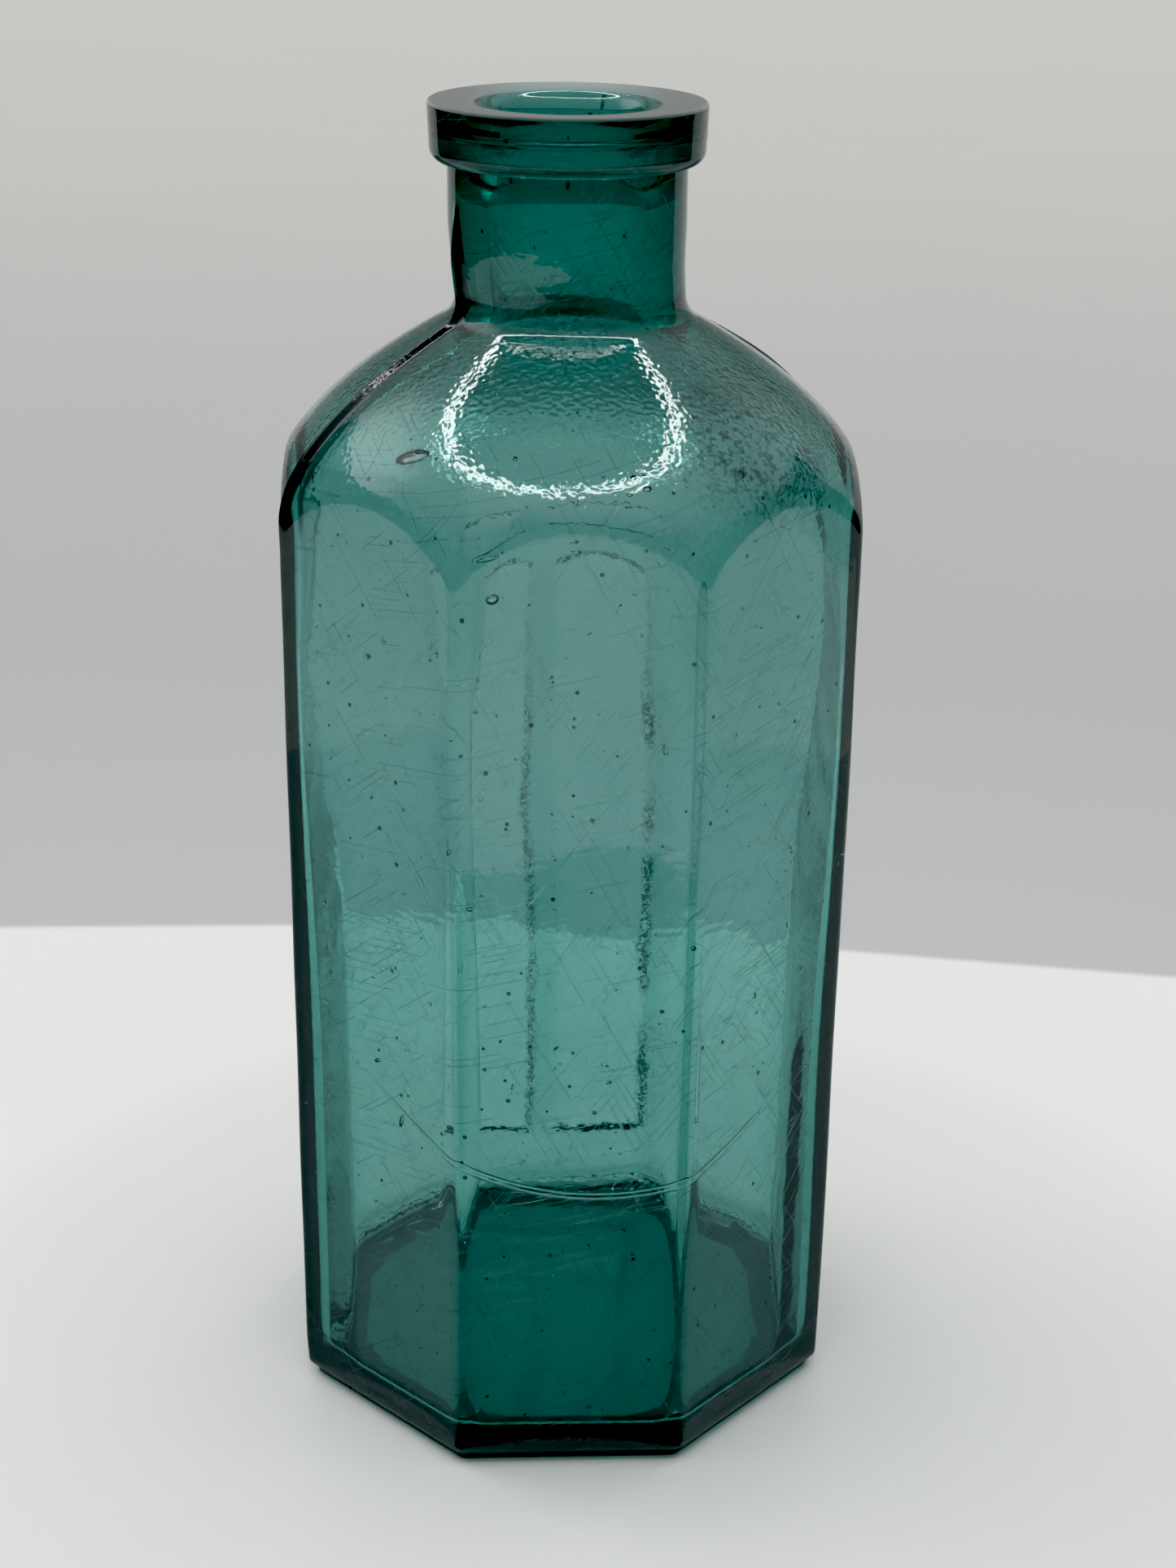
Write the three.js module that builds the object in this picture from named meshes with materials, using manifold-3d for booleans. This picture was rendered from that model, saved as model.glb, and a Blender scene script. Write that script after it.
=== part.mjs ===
// Octagonal blown-glass medicine bottle with an applied collar lip.
// Millimetres, +Z up, origin at the centre of the base on the surface it stands on.
// The front is -Y; the back panel, +Y, carries the sunken double-arched label panel.
import * as THREE from "three";
import { mergeVertices } from "three/addons/utils/BufferGeometryUtils.js";
import Module from "manifold-3d";

// ---- Driving dimensions -------------------------------------------------------------

const HEIGHT = 152; // base to rim
const ACROSS_FLATS = 63; // body, flat to opposite flat
const PANELS = 8;

const WALL = 3; // body panels
const FLOOR = 3.2; // glass below the inside of the body
const CORNER_RADIUS = 2; // outside, between two panels
const INSIDE_CORNER_RADIUS = 3; // blown glass runs thick in its corners
const INSIDE_HEEL = 2; // inside rounding between floor and walls

const BASE_INSET = 1.1; // the base plate stands inside the body by this much
const BASE_STEP = 1.9; // height of the base plate
const HEEL = 0.8; // rounding where the panels meet the base plate
const BASE_EDGE_ROUND = 0.3; // standing edge of the base plate
const PUSH_UP_RADIUS = 24; // shallow hollow under the base
const PUSH_UP_DEPTH = 0.8;

// Points on the shoulder are (radius, height).
const SHOULDER_START = 106; // the corners begin to turn in
const SHOULDER_BEND = new THREE.Vector2(28.9, 118.1); // end of the tight turn, on the dome
const NECK_FOOT = new THREE.Vector2(14.2, 128.9); // where the dome meets the neck's fillet
const INSIDE_BEND = new THREE.Vector2(26.8, 115.6);
const INSIDE_NECK_FOOT = new THREE.Vector2(11.4, 125.2);
const BEND_SLOPE = new THREE.Vector2(-0.68, 0.733); // direction of the dome at its bend
const FOOT_SLOPE = new THREE.Vector2(-0.866, 0.5); // and at the foot of the neck
const TURN_HANDLES = [5.5, 3.5]; // fullness of the tight turn, at its start and its end
const DOME_HANDLES = [6.5, 5]; // fullness of the dome, at the bend and at the neck
const NECK_FLARE = 7; // height over which the neck widens above its fillet
const NECK_RADIUS_LOW = 12.6;
const NECK_RADIUS_HIGH = 12.9;

const LIP_RADIUS = 15;
const LIP_TAPER = 0.2; // the collar is this much smaller at its lower edge
const LIP_HEIGHT = 6.3;
const LIP_LOWER_ROUND = 1.4;
const LIP_UPPER_ROUND = 0.4;
const LIP_LAND_DISH = 0.2; // the top face dips towards the mouth

const BORE_RADIUS = 6.5; // straight bore through the neck
const MOUTH_RADIUS = 9.3; // the bore flares to this at the rim
const FLARE_DEPTH = 5.5;
const NECK_END = 149; // the blown neck ends inside the collar
const GLASS_GAP = 0.3; // modelling gap between the two pieces of glass

const LABEL_BOTTOM = 7;
const LABEL_SPRING = 87; // where the straight sides of the label panel end
const LABEL_RISE = 2.2; // of each arched head
const LABEL_DEPTH = 0.7;
const LABEL_LEFT = -11.6;
const LABEL_NARROW_COLUMN = 8.4;
const LABEL_RIB = 3.2;
const LABEL_WIDE_COLUMN = 11.6;

const ROUND_SEGMENTS = 64;
const APOTHEM = ACROSS_FLATS / 2;
const CIRCUMRADIUS = APOTHEM / Math.cos(Math.PI / PANELS);

// ---- Solids --------------------------------------------------------------------------

const wasm = await Module();
wasm.setup();

function solid(geometry) {
  geometry.deleteAttribute("normal");
  geometry.deleteAttribute("uv");
  const merged = mergeVertices(geometry, 1e-4);
  return new wasm.Manifold(new wasm.Mesh({
    numProp: 3,
    vertProperties: new Float32Array(merged.attributes.position.array),
    triVerts: new Uint32Array(merged.index.array),
  }));
}

function toGeometry(manifold) {
  const mesh = manifold.getMesh();
  const geometry = new THREE.BufferGeometry();
  geometry.setAttribute("position", new THREE.BufferAttribute(mesh.vertProperties, 3));
  geometry.setIndex(new THREE.BufferAttribute(mesh.triVerts, 1));
  geometry.computeVertexNormals();
  return geometry;
}

// A lathe turned about +Z. Its profile holds (radius, height) points, counted upwards.
function turned(profile) {
  const geometry = new THREE.LatheGeometry(profile, ROUND_SEGMENTS);
  return geometry.rotateX(Math.PI / 2);
}

// An octagon with rounded corners, flats facing +X and +Y.
function octagon(apothem, cornerRadius) {
  const shape = new THREE.Shape();
  const reach = (apothem - cornerRadius) / Math.cos(Math.PI / PANELS);
  for (let i = 0; i < PANELS; i++) {
    const start = (i * 2 * Math.PI) / PANELS;
    const middle = start + Math.PI / PANELS;
    const end = start + (2 * Math.PI) / PANELS;
    const [x, y] = [reach * Math.cos(middle), reach * Math.sin(middle)];
    shape.absarc(x, y, cornerRadius, start, end, false);
  }
  return shape;
}

// An octagonal prism from bottom to top, its lower and upper edges rounded by round.
function prism(apothem, cornerRadius, bottom, top, round, segments) {
  const geometry = new THREE.ExtrudeGeometry(octagon(apothem, cornerRadius), {
    depth: top - bottom - 2 * round,
    curveSegments: 4,
    bevelThickness: round,
    bevelSize: round,
    bevelOffset: -round,
    bevelSegments: segments,
  });
  return geometry.translate(0, 0, bottom + round);
}

// Points of a quarter-turn or less, from one angle to another about a centre.
function arc(centreR, centreZ, radius, fromDegrees, toDegrees, steps) {
  const points = [];
  for (let i = 0; i <= steps; i++) {
    const angle = THREE.MathUtils.degToRad(fromDegrees + ((toDegrees - fromDegrees) * i) / steps);
    points.push(new THREE.Vector2(
      centreR + radius * Math.cos(angle),
      centreZ + radius * Math.sin(angle),
    ));
  }
  return points;
}

function bezier(start, startHandle, endHandle, end, steps) {
  return new THREE.CubicBezierCurve(start, startHandle, endHandle, end).getPoints(steps);
}

// ---- Blown body ----------------------------------------------------------------------

const UPWARDS = new THREE.Vector2(0, 1);
const CUTTER_MARGIN = 3; // how far an envelope stands clear of the prism that it cuts

const along = (point, slope, distance) => point.clone().addScaledVector(slope, distance);

// The shoulder from its rim over the tight turn and the dome to the foot of the neck.
function shoulder(rim, bend, foot, steps) {
  const turn = bezier(
    rim,
    along(rim, UPWARDS, TURN_HANDLES[0]),
    along(bend, BEND_SLOPE, -TURN_HANDLES[1]),
    bend,
    steps,
  );
  const dome = bezier(
    bend,
    along(bend, BEND_SLOPE, DOME_HANDLES[0]),
    along(foot, FOOT_SLOPE, -DOME_HANDLES[1]),
    foot,
    steps,
  );
  return [...turn, ...dome.slice(1)];
}

// The concave curve that turns the foot's slope into a straight neck or bore.
function throat(foot, radius, steps) {
  const filletRadius = (foot.x - radius) * 2;
  const middle = foot.y + filletRadius * Math.sin(Math.PI / 3);
  return arc(radius + filletRadius, middle, filletRadius, 240, 180, steps).slice(1);
}

// The outside of shoulder and neck, as a solid of revolution that cuts the octagonal prism.
function outerEnvelope() {
  const rim = new THREE.Vector2(CIRCUMRADIUS + 0.1, SHOULDER_START);
  const fillet = throat(NECK_FOOT, NECK_RADIUS_LOW, 4);
  const neckBottom = fillet[fillet.length - 1].y;
  return turned([
    new THREE.Vector2(0, -1),
    new THREE.Vector2(CIRCUMRADIUS + CUTTER_MARGIN, -1),
    new THREE.Vector2(CIRCUMRADIUS + CUTTER_MARGIN, SHOULDER_START - CUTTER_MARGIN),
    ...shoulder(rim, SHOULDER_BEND, NECK_FOOT, 7),
    ...fillet,
    new THREE.Vector2(NECK_RADIUS_HIGH, neckBottom + NECK_FLARE),
    new THREE.Vector2(NECK_RADIUS_HIGH, NECK_END),
    new THREE.Vector2(0, NECK_END),
  ]);
}

// The inside of shoulder, neck and mouth: the glass thickens from the body up to the neck.
function innerEnvelope() {
  const insideReach = (APOTHEM - WALL) / Math.cos(Math.PI / PANELS);
  const rim = new THREE.Vector2(insideReach + 0.1, SHOULDER_START - 1);
  return turned([
    new THREE.Vector2(0, 0),
    new THREE.Vector2(insideReach + CUTTER_MARGIN, 0),
    new THREE.Vector2(insideReach + CUTTER_MARGIN, SHOULDER_START - CUTTER_MARGIN),
    ...shoulder(rim, INSIDE_BEND, INSIDE_NECK_FOOT, 6),
    ...throat(INSIDE_NECK_FOOT, BORE_RADIUS, 5),
    new THREE.Vector2(BORE_RADIUS, HEIGHT - FLARE_DEPTH),
    new THREE.Vector2(flareRadius(NECK_END + 1), NECK_END + 1),
    new THREE.Vector2(0, NECK_END + 1),
  ]);
}

// Radius of the flared mouth at a height: a straight cone from the bore to the rim.
function flareRadius(z) {
  const share = (z - (HEIGHT - FLARE_DEPTH)) / FLARE_DEPTH;
  return BORE_RADIUS + (MOUTH_RADIUS - BORE_RADIUS) * share;
}

// One column of the sunken label panel: straight sides, a low arched head and sharp feet.
function labelColumn(left, width) {
  const halfWidth = width / 2;
  const headRadius = (halfWidth ** 2 + LABEL_RISE ** 2) / (2 * LABEL_RISE);
  const reach = Math.asin(halfWidth / headRadius);
  const shape = new THREE.Shape();
  shape.moveTo(left, LABEL_BOTTOM);
  shape.lineTo(left + width, LABEL_BOTTOM);
  shape.absarc(
    left + halfWidth,
    LABEL_SPRING + LABEL_RISE - headRadius,
    headRadius,
    Math.PI / 2 - reach,
    Math.PI / 2 + reach,
    false,
  );
  shape.closePath();
  const column = new THREE.ExtrudeGeometry(shape, {
    depth: LABEL_DEPTH + 1,
    curveSegments: 8,
    bevelEnabled: false,
  });
  // The shape's Y becomes the bottle's Z, and its depth reaches out through the back panel.
  return column.rotateX(Math.PI / 2).translate(0, APOTHEM + 1, 0);
}

function pushUp() {
  const dome = (PUSH_UP_RADIUS ** 2 + PUSH_UP_DEPTH ** 2) / (2 * PUSH_UP_DEPTH);
  const reach = THREE.MathUtils.radToDeg(Math.asin(PUSH_UP_RADIUS / dome));
  return turned([
    new THREE.Vector2(0, -1),
    new THREE.Vector2(PUSH_UP_RADIUS, -1),
    ...arc(0, PUSH_UP_DEPTH - dome, dome, 90 - reach, 90, 4),
  ]);
}

function blownBody() {
  const panels = prism(APOTHEM, CORNER_RADIUS, BASE_STEP - 0.4, HEIGHT, HEEL, 3);
  const basePlate = prism(APOTHEM - BASE_INSET, CORNER_RADIUS, 0, 2 * FLOOR, BASE_EDGE_ROUND, 1);
  const insidePanels = prism(
    APOTHEM - WALL, INSIDE_CORNER_RADIUS, FLOOR, HEIGHT + 5, INSIDE_HEEL, 3,
  );
  const outside = solid(panels).add(solid(basePlate)).intersect(solid(outerEnvelope()));
  const inside = solid(insidePanels).intersect(solid(innerEnvelope()));
  const wideLeft = LABEL_LEFT + LABEL_NARROW_COLUMN + LABEL_RIB;
  return outside
    .subtract(inside)
    .subtract(solid(labelColumn(LABEL_LEFT, LABEL_NARROW_COLUMN)))
    .subtract(solid(labelColumn(wideLeft, LABEL_WIDE_COLUMN)))
    .subtract(solid(pushUp()));
}

// ---- Applied collar lip --------------------------------------------------------------

function collarLip() {
  const lowerEdge = HEIGHT - LIP_HEIGHT;
  const lowerRadius = LIP_RADIUS - LIP_TAPER;
  const neckClear = NECK_RADIUS_HIGH + GLASS_GAP;
  const shelf = NECK_END + GLASS_GAP;
  const lower = arc(
    lowerRadius - LIP_LOWER_ROUND, lowerEdge + LIP_LOWER_ROUND, LIP_LOWER_ROUND, -90, 0, 5,
  );
  const upper = arc(
    LIP_RADIUS - LIP_UPPER_ROUND, HEIGHT - LIP_UPPER_ROUND, LIP_UPPER_ROUND, 0, 90, 3,
  );
  // The land dips, then rolls over into the flared mouth.
  const mouth = bezier(
    new THREE.Vector2(MOUTH_RADIUS + 1.6, HEIGHT - LIP_LAND_DISH),
    new THREE.Vector2(MOUTH_RADIUS + 0.6, HEIGHT - LIP_LAND_DISH),
    new THREE.Vector2(flareRadius(HEIGHT - 0.7), HEIGHT - 0.7),
    new THREE.Vector2(flareRadius(HEIGHT - 1.4), HEIGHT - 1.4),
    5,
  );
  return turned([
    new THREE.Vector2(neckClear, lowerEdge),
    ...lower,
    ...upper,
    ...mouth,
    new THREE.Vector2(flareRadius(shelf), shelf),
    new THREE.Vector2(neckClear, shelf),
    new THREE.Vector2(neckClear, lowerEdge),
  ]);
}

// ---- The bottle ----------------------------------------------------------------------

const aquaGlass = () => new THREE.MeshStandardMaterial({
  color: 0x5a9a90, roughness: 0.08, metalness: 0, transparent: true, opacity: 0.45,
});

function piece(name, geometry, material) {
  const mesh = new THREE.Mesh(geometry, material);
  mesh.name = name;
  return mesh;
}

const bottle = new THREE.Group();
bottle.add(piece("blown_body", toGeometry(blownBody()), aquaGlass()));
bottle.add(piece("applied_lip", toGeometry(solid(collarLip())), aquaGlass()));

export default bottle;
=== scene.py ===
"""Octagonal blown-glass medicine bottle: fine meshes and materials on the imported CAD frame."""
import math

import bmesh
import bpy
import numpy as np
from mathutils import Matrix, Vector


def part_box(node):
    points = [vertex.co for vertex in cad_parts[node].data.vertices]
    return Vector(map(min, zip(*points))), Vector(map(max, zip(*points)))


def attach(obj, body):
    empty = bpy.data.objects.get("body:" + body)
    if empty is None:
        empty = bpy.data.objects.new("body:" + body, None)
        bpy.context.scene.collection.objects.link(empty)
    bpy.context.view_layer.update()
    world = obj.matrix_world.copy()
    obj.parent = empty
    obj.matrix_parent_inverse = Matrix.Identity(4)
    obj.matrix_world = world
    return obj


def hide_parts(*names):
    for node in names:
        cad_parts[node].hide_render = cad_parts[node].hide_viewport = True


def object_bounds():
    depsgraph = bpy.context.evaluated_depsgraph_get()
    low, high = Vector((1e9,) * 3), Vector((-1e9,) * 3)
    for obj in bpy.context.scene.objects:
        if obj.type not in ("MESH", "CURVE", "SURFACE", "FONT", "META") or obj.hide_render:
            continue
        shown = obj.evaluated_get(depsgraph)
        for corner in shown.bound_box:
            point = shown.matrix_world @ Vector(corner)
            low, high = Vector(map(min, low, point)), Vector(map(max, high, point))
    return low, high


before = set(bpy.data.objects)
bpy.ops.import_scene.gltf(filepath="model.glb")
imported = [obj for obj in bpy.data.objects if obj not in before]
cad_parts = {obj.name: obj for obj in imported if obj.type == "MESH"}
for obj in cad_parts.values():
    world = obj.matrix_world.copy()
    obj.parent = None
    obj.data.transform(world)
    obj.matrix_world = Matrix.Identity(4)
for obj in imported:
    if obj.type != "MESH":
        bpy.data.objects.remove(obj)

MM = 0.001
CAD_LOW, CAD_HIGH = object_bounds()
BODY_LOW, BODY_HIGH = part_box("blown_body")
LIP_LOW, LIP_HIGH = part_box("applied_lip")

# ---- Sizes, in metres -----------------------------------------------------------------

PANELS = 8
HALF_PANEL = math.pi / PANELS
APOTHEM = (BODY_HIGH[0] - BODY_LOW[0]) / 2
CIRCUMRADIUS = APOTHEM / math.cos(HALF_PANEL)
RIM = CAD_HIGH[2]
NECK_END = BODY_HIGH[2]
LIP_RADIUS = (LIP_HIGH[0] - LIP_LOW[0]) / 2
LIP_BOTTOM = LIP_LOW[2]

WALL = 2.1 * MM
FLOOR = 2.1 * MM
CORNER_RADIUS = 1.6 * MM
SAG_START, SAG_FULL = 92 * MM, 40 * MM  # the glass sagged below the first, fully at the second
INSIDE_CORNER_HIGH, INSIDE_CORNER_LOW = 2.2 * MM, 5.0 * MM  # radius above and below the sag
SIDE_SAG = 0.8 * MM  # how much thicker the sag left the two side panels
BACK_SWELL = 0.5 * MM  # how much thicker the glass is behind the label panel
INSIDE_HEEL = 4.2 * MM
FLOOR_RISE = 0.6 * MM  # the inside of the floor is higher in the middle
OUTSIDE_BLEND = 0.5 * MM  # how softly the dome runs into the panels
INSIDE_BLEND = 1.8 * MM
BASE_INSET = 1.1 * MM
PUSH_UP_RADIUS = 24 * MM
PUSH_UP_DEPTH = 0.8 * MM

SHOULDER_START = RIM - 46 * MM
NECK_RADIUS_LOW = 12.6 * MM
NECK_RADIUS_HIGH = 12.9 * MM
NECK_FILLET = 3.2 * MM
BORE_RADIUS = 8.5 * MM
THROAT_RADIUS = 7.4 * MM  # the lip was squeezed in here when it was tooled
MOUTH_RADIUS = 9.3 * MM
FLARE_DEPTH = 5.5 * MM
FUSED = 0.05 * MM  # the two pieces of glass run into each other by this much

LABEL_BOTTOM = 10.2 * MM
LABEL_SPRING = 91.2 * MM
LABEL_RISE = 2.2 * MM
LABEL_DEPTH = 0.6 * MM
LABEL_EDGE = 1.1 * MM  # half width of the soft edge of the sunken panel
LABEL_COLUMNS = ((-11.8 * MM, 8.5 * MM), (-0.1 * MM, 12.0 * MM))  # left edge and width

RIPPLE_HEIGHTS = (79 * MM, 58 * MM)
RIPPLE_SPACING = 1.5 * MM
RIPPLE_SIZE = 0.007 * MM

NECK_LEAN = -0.6 * MM  # the neck and lip tilt a little to one side
SEAM_LOW, SEAM_HIGH = 0.2 * MM, 0.95 * MM  # height of the mould seam on the body and above it
SEAM_WIDTH = 0.6 * MM  # of the raised line
SEAM_HALF_WIDTH = 1.45 * MM  # of the dark band along it: partly soot, partly painted shade
SEAMS = ((202.5, RIM - 9 * MM), (22.5, RIM - 22 * MM))  # azimuth in degrees and upper end

BEND_SLOPE = np.array((-0.68, 0.733))  # directions of the shoulder's profile at its two joins
FOOT_SLOPE = np.array((-0.866, 0.5))

# Bubbles in the glass: azimuth, height, depth below the surface, half length and half width,
# and the lean of the long axis from level. Azimuths and leans are degrees, the rest
# millimetres.
BUBBLES = (
    (231.5, 119.3, 1.1, 2.0, 0.85, 25), (306.0, 118.0, 1.2, 0.5, 0.42, 80),
    (283.6, 117.8, 1.0, 0.5, 0.35, 10), (279.8, 117.4, 1.0, 0.35, 0.25, 0),
    (281.2, 118.8, 1.2, 0.4, 0.3, 60), (255.6, 120.3, 1.1, 0.28, 0.22, 90),
    (254.2, 106.6, 1.3, 0.75, 0.6, 20), (253.5, 110.9, 1.0, 1.2, 0.25, 15),
    (207.1, 115.1, 1.0, 0.45, 0.3, 70), (227.2, 77.9, 1.2, 0.3, 0.28, 0),
    (245.2, 78.2, 1.4, 0.45, 0.2, 60), (225.2, 48.9, 1.2, 0.6, 0.25, 30),
    (231.7, 42.4, 1.5, 0.9, 0.3, 75), (250.2, 71.9, 1.3, 0.35, 0.3, 0),
)
SMALL_BUBBLES = 110

# ---- Looks ----------------------------------------------------------------------------

GLASS_IOR = 1.52
ABSORBED_PER_METRE = (370.0, 169.0, 187.0)  # of red, green and blue
# Tone of the specks and dirt, and of the painted shade along seams and panel edges.
SOIL_AND_SHADE_TONE = (0.005, 0.01, 0.008)
# Heights and depths of the fine relief, in millimetres. The shoulder has more grain.
GRAIN, SHOULDER_GRAIN, PEEL = 0.002, 0.024, 0.016
SCRATCH_DEPTH, CREASE_DEPTH = 0.016, 0.03
GRAIN_BEGINS, GRAIN_ENDS = (0.111, 0.117), (0.131, 0.127)  # heights, from none to all
SCRATCHES = (  # turn about the axes, in radians, and relative width
    ((0.0, 0.62, 0.2), 0.9), ((0.0, -0.5, 0.1), 0.8), ((0.1, 1.35, 0.0), 0.9),
)
CREASE_X, CREASE_HEIGHT, CREASE_BEND = 3 * MM, 36.2 * MM, 16.5  # lowest point and curvature
SHOULDER_DIRT_AND_SHADE = ((0.0175, -0.0195, 0.1205), 13 * MM)  # middle and radius; dirt, deepened as painted shade
NECK_DIRT = ((-0.001, -0.012, 0.130), 9 * MM)

TABLE_HALF = 20.0  # half the width of the floor
# The table is painted paler towards the front: painted light that makes up for less light falling
# there.
TABLE_NEAR_PAINTED_PALER = (0.865, 0.855, 0.85)
TABLE_FAR = (0.735, 0.735, 0.725)
WALL_DISTANCE = 0.114  # of the line where the wall begins
WALL_DEPTH = 1.5  # over which the tones below run
WALL_TONES = (
    (0.0, (0.487, 0.487, 0.497)), (0.1, (0.448, 0.448, 0.448)),
    (0.55, (0.525, 0.52, 0.505)), (1.0, (0.55, 0.545, 0.53)),
)
ROOM_DARK, ROOM_PALER = 0.02, 0.29  # in front of the bottle, and what is added behind
LAMP_RING = Vector((-0.03, 0.10, 1.0)).normalized()
LAMP_TONES = (  # cosine of the angle from LAMP_RING, and tone
    (0.0, 0.0), (0.35, 0.0), (0.6, 0.024), (0.80, 0.038), (0.862, 0.05),
    (0.869, 1.0), (0.886, 1.0), (0.893, 0.0),
)
LAMP_POWER = 13.9
SOFT_WINDOWS = (  # direction, cosine of the angle where it ends, power
    ((-0.77, 0.34, 0.54), 0.90, 1.7), ((0.74, 0.50, 0.44), 0.90, 0.25),
)
REFLECTION_SHADE_CARDS = (  # tone, first and last azimuth, and (radius, height) of the two edges of each dark card that only reflections see, as painted shade
    (0.02, 135, 390, (0.45, 0.0), (0.45, 0.36)),  # a dark wall round the front and sides: painted shade of the room
    (0.04, 243, 297, (0.036, 0.0004), (0.2, 0.0004)),  # sheets just above the table: painted shade on the table in front
    (0.5, 297, 410, (0.036, 0.0004), (0.24, 0.0004)),
    (0.06, 50, 130, (0.036, 0.0004), (0.5, 0.0004)),
    (0.5, 130, 243, (0.036, 0.0004), (0.24, 0.0004)),
)

CAMERA_PLACE = Vector((-11.02, -271.27, 186.83)) * MM
CAMERA_AIM = (2.88, 22.65, 0.872)  # degrees to the right, down and of roll
CAMERA_LENS, CAMERA_SENSOR = 57.3, 36
BLACK_LEVEL = (0.030, 0.017, 0.017)  # takes the veil off deep glass, as a camera's black point


# ---- Small tools ----------------------------------------------------------------------

def smoothstep(low, high, x):
    t = np.clip((x - low) / (high - low), 0, 1)
    return t * t * (3 - 2 * t)


def soft_min(a, b, width):
    """The lesser of two lengths, blended over width where they are nearly equal."""
    near = np.clip(width - np.abs(a - b), 0, None) / width
    return np.minimum(a, b) - near * near * width / 4


def bezier(points, steps):
    t = np.linspace(0, 1, steps + 1)[:, None]
    a, b, c, d = (np.array(p, float) for p in points)
    return (1 - t) ** 3 * a + 3 * (1 - t) ** 2 * t * b + 3 * (1 - t) * t * t * c + t ** 3 * d


def arc(centre, radius, from_degrees, to_degrees, steps):
    angles = np.radians(np.linspace(from_degrees, to_degrees, steps + 1))
    return np.column_stack(
        (centre[0] + radius * np.cos(angles), centre[1] + radius * np.sin(angles))
    )


def evenly(profile, spacing):
    """Points at an even spacing along a profile of (radius, height) points."""
    lengths = np.r_[0, np.cumsum(np.linalg.norm(np.diff(profile, axis=0), axis=1))]
    count = max(2, round(lengths[-1] / spacing))
    at = np.linspace(0, lengths[-1], count + 1)
    return np.column_stack([np.interp(at, lengths, profile[:, i]) for i in (0, 1)])


def waves(points, wavelength, seed, count=24):
    """Smooth random relief of about unit height: a sum of plane waves near one wavelength."""
    source = np.random.default_rng(seed)
    total = np.zeros(len(points))
    for _ in range(count):
        direction = source.normal(size=3)
        direction /= np.linalg.norm(direction)
        length = wavelength * source.uniform(0.7, 1.6)
        total += np.sin(points @ direction * 2 * math.pi / length + source.uniform(0, 6.3))
    return total / math.sqrt(count / 2)


def panel_angle(theta):
    """Angle from the middle of the nearest panel."""
    return (theta + HALF_PANEL) % (2 * HALF_PANEL) - HALF_PANEL


def octagon(theta, apothem, corner):
    """Distance from the axis to an octagon with rounded corners, flats facing +X and +Y."""
    phi = np.abs(panel_angle(theta))
    reach = (apothem - corner) / math.cos(HALF_PANEL)
    flat = apothem / np.cos(phi)
    psi = HALF_PANEL - phi
    inside = np.clip(corner ** 2 - (reach * np.sin(psi)) ** 2, 0, None)
    rounded = reach * np.cos(psi) + np.sqrt(inside)
    on_flat = phi < math.atan2(reach * math.sin(HALF_PANEL), apothem)
    return np.where(on_flat, flat, rounded)


# ---- Profiles of shoulder and neck ----------------------------------------------------

def shoulder(rim, rim_handle, bend_handle, bend, foot):
    """(radius, height) from the body's rim over the tight turn and the dome to the neck."""
    rim, bend, foot = (np.array(point) for point in (rim, bend, foot))
    turn = bezier((rim, rim + (0, rim_handle), bend - bend_handle * BEND_SLOPE, bend), 24)
    dome = bezier((bend, bend + 6.5 * MM * BEND_SLOPE, foot - 5 * MM * FOOT_SLOPE, foot), 24)
    return np.vstack((turn, dome[1:]))


def throat(foot, radius, curve):
    """The concave turn from the dome's slope into a straight neck or bore."""
    middle = foot[1] + curve * math.sin(math.pi / 3)
    return arc((radius + curve, middle), curve, 240, 180, 12)[1:]


def lead_in(radius, height, widening, length):
    """Points that come up to (radius, height) from further out, so that blending fades in."""
    share = np.linspace(1, 0, 13)[:-1]
    return np.column_stack((radius + widening * share ** 2, height - length * share))


def outer_profile():
    """(radius, height) of the dome, the fillet and the neck, from the shoulder upwards."""
    foot = (14.2 * MM, SHOULDER_START + 22.9 * MM)
    dome = shoulder((CIRCUMRADIUS + 0.1 * MM, SHOULDER_START), 5.5 * MM, 3.5 * MM,
                    (28.9 * MM, SHOULDER_START + 12.1 * MM), foot)
    fillet = throat(foot, NECK_RADIUS_LOW, NECK_FILLET)
    top = fillet[-1, 1]
    neck = [
        (NECK_RADIUS_LOW + 0.08 * MM, top + 3 * MM),
        (NECK_RADIUS_HIGH, top + 7.5 * MM),
        (NECK_RADIUS_HIGH, NECK_END),
    ]
    start = lead_in(*dome[0], OUTSIDE_BLEND, 4 * MM)
    return np.vstack((start, dome, fillet, neck))


def inner_profile():
    """(radius, height) of the inside, from the shoulder up to the end of the neck."""
    reach = (APOTHEM - WALL) / math.cos(HALF_PANEL)
    rim = (reach + 0.1 * MM, SHOULDER_START - 0.5 * MM)
    foot = (11.0 * MM, SHOULDER_START + 20.8 * MM)
    dome = shoulder(rim, 5.5 * MM, 3.6 * MM, (27.6 * MM, SHOULDER_START + 10.9 * MM), foot)
    curve = throat(foot, BORE_RADIUS, (foot[0] - BORE_RADIUS) * 2)
    squeeze = bezier(((BORE_RADIUS, RIM - 11 * MM), (BORE_RADIUS, RIM - 8.5 * MM),
                      (THROAT_RADIUS, RIM - 7.5 * MM), (THROAT_RADIUS, RIM - FLARE_DEPTH)), 10)
    neck = np.vstack((squeeze, (flare(NECK_END), NECK_END)))
    return np.vstack((lead_in(*rim, INSIDE_BLEND, 13 * MM), dome, curve, neck))


def flare(z):
    """Radius of the mouth, which opens as a cone from the throat to the rim."""
    return THROAT_RADIUS + (MOUTH_RADIUS - THROAT_RADIUS) * (z - RIM + FLARE_DEPTH) / FLARE_DEPTH


# ---- The glass surfaces as grids ------------------------------------------------------

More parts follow.
